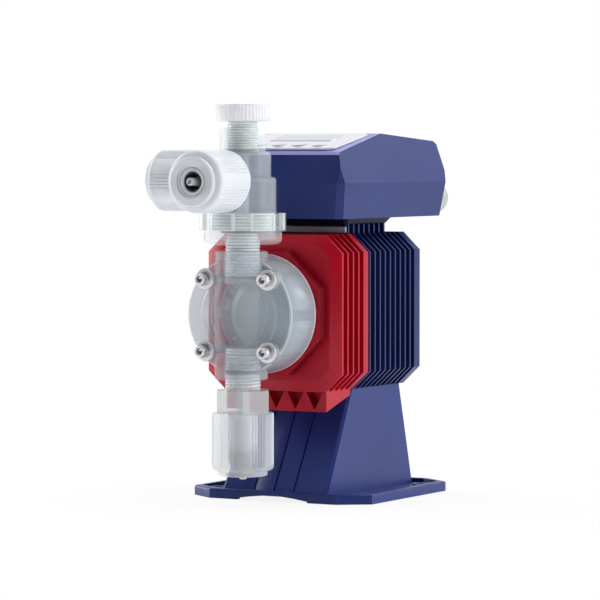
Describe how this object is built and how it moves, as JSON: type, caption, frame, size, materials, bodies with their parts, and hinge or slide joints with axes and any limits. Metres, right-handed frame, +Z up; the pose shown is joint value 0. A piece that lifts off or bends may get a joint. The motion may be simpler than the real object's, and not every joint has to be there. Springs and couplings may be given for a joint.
{
  "type": "diaphragm metering pump",
  "caption": "Solenoid diaphragm metering pump: clear pump head with valve column, tube nuts and air vent, red bracket, finned drive on a leaning stand, controller with sloped panel on top.",
  "frame": {"origin": "underside of the stand, at the centre of its four mounting holes", "axes": "+Z up; +X to the right seen from the front; +Y to the rear, so the pump head faces -Y"},
  "size_m": [0.1336, 0.2773, 0.258],
  "materials": {
    "blue_plastic": "satin moulded plastic",
    "red_plastic": "satin moulded plastic",
    "clear_plastic": "clear, slightly blue-grey",
    "frosted_plastic": "translucent white",
    "black_plastic": "matt",
    "grey_plastic": "matt",
    "white_plastic": "satin",
    "ceramic_white": "polished ceramic",
    "black_rubber": "smooth",
    "white_rubber": "smooth, faced with fluoropolymer",
    "stainless": "bright",
    "steel": "turned",
    "bronze": "sintered",
    "copper": "enamelled copper wire",
    "board_green": "laminate",
    "panel_film": "printed film",
    "display_grey": "liquid crystal display",
    "key_grey": "soft keys"
  },
  "bodies": {
    "frame": {"air_ferrule": "frosted_plastic", "air_nipple": "frosted_plastic", "base_stand": "blue_plastic", "bracket_ribs": "red_plastic", "circuit_board": "board_green", "coil_bobbin": "black_plastic", "coil_winding": "copper", "controller_case": "blue_plastic", "controller_lid": "blue_plastic", "diaphragm": "white_rubber", "discharge_ferrule": "frosted_plastic", "discharge_fitting": "frosted_plastic", "discharge_nipple": "frosted_plastic", "discharge_o_ring": "black_rubber", "discharge_valve_guide": "grey_plastic", "discharge_valve_seat": "grey_plastic", "display_window": "display_grey", "drive_housing": "blue_plastic", "front_bracket": "red_plastic", "gland_nuts": "white_plastic", "head_bolts": "stainless", "head_spring_washers": "stainless", "head_washers": "stainless", "housing_fins": "blue_plastic", "neck_collar": "black_plastic", "operation_panel": "panel_film", "pole_core": "steel", "power_gland": "white_plastic", "pump_head": "clear_plastic", "rear_cover": "blue_plastic", "rear_screws": "stainless", "return_spring": "stainless", "shaft_bush": "bronze", "signal_gland": "white_plastic", "solenoid_yoke": "steel", "suction_ferrule": "frosted_plastic", "suction_fitting": "frosted_plastic", "suction_nipple": "frosted_plastic", "suction_o_ring": "black_rubber", "suction_valve_guide": "grey_plastic", "suction_valve_seat": "grey_plastic", "under_screws": "stainless", "vent_body": "clear_plastic", "vent_o_ring": "black_rubber"},
    "plunger": {"armature": "steel", "plunger_shaft": "stainless", "diaphragm_retainer": "steel"},
    "suction_ball": {"suction_valve_ball": "ceramic_white"},
    "discharge_ball": {"discharge_valve_ball": "ceramic_white"},
    "ring_nut": {"ring_nut": "frosted_plastic"},
    "vent_knob": {"vent_knob": "frosted_plastic"},
    "suction_nut": {"suction_nut": "frosted_plastic"},
    "discharge_nut": {"discharge_nut": "frosted_plastic"},
    "air_nut": {"air_nut": "frosted_plastic"},
    "stroke_knob": {"stroke_knob": "black_plastic", "stroke_stop": "stainless"},
    "key_menu": {"key_menu": "key_grey"},
    "key_down": {"key_down": "key_grey"},
    "key_up": {"key_up": "key_grey"},
    "key_start": {"key_start": "key_grey"}
  },
  "joints": [
    {"name": "plunger_slide", "type": "slide", "parent": "frame", "child": "plunger", "axis": [0, -1, 0], "range_m": [0, 0.001], "stiffness_N_per_m": 2000, "deforming": ["return_spring", "diaphragm"]},
    {"name": "suction_ball_lift", "type": "slide", "parent": "frame", "child": "suction_ball", "axis": [0, 0, 1], "range_m": [0, 0.0015]},
    {"name": "discharge_ball_lift", "type": "slide", "parent": "frame", "child": "discharge_ball", "axis": [0, 0, 1], "range_m": [0, 0.0015]},
    {"name": "vent_knob_turn", "type": "hinge", "parent": "frame", "child": "vent_knob", "pos_m": [0, -0.103, 0.2525], "axis": [0, 0, 1], "range_deg": [0, 360]},
    {"name": "ring_nut_turn", "type": "hinge", "parent": "frame", "child": "ring_nut", "pos_m": [0, -0.103, 0.178], "axis": [0, 0, 1], "range_deg": [0, 360]},
    {"name": "suction_nut_turn", "type": "hinge", "parent": "frame", "child": "suction_nut", "pos_m": [0, -0.103, 0.04], "axis": [0, 0, 1], "range_deg": [0, 360]},
    {"name": "discharge_nut_turn", "type": "hinge", "parent": "frame", "child": "discharge_nut", "pos_m": [0, -0.147, 0.209], "axis": [0, 1, 0], "range_deg": [0, 360]},
    {"name": "air_nut_turn", "type": "hinge", "parent": "frame", "child": "air_nut", "pos_m": [-0.044, -0.103, 0.209], "axis": [1, 0, 0], "range_deg": [0, 360]},
    {"name": "stroke_knob_turn", "type": "hinge", "parent": "frame", "child": "stroke_knob", "pos_m": [0, 0.062, 0.123], "axis": [0, -1, 0], "range_deg": [0, 288]},
    {"name": "key_menu_press", "type": "slide", "parent": "frame", "child": "key_menu", "axis": [0, 0.19, -0.9818], "range_m": [0, 0.0004], "stiffness_N_per_m": 400},
    {"name": "key_down_press", "type": "slide", "parent": "frame", "child": "key_down", "axis": [0, 0.19, -0.9818], "range_m": [0, 0.0004], "stiffness_N_per_m": 400},
    {"name": "key_up_press", "type": "slide", "parent": "frame", "child": "key_up", "axis": [0, 0.19, -0.9818], "range_m": [0, 0.0004], "stiffness_N_per_m": 400},
    {"name": "key_start_press", "type": "slide", "parent": "frame", "child": "key_start", "axis": [0, 0.19, -0.9818], "range_m": [0, 0.0004], "stiffness_N_per_m": 400}
  ]
}
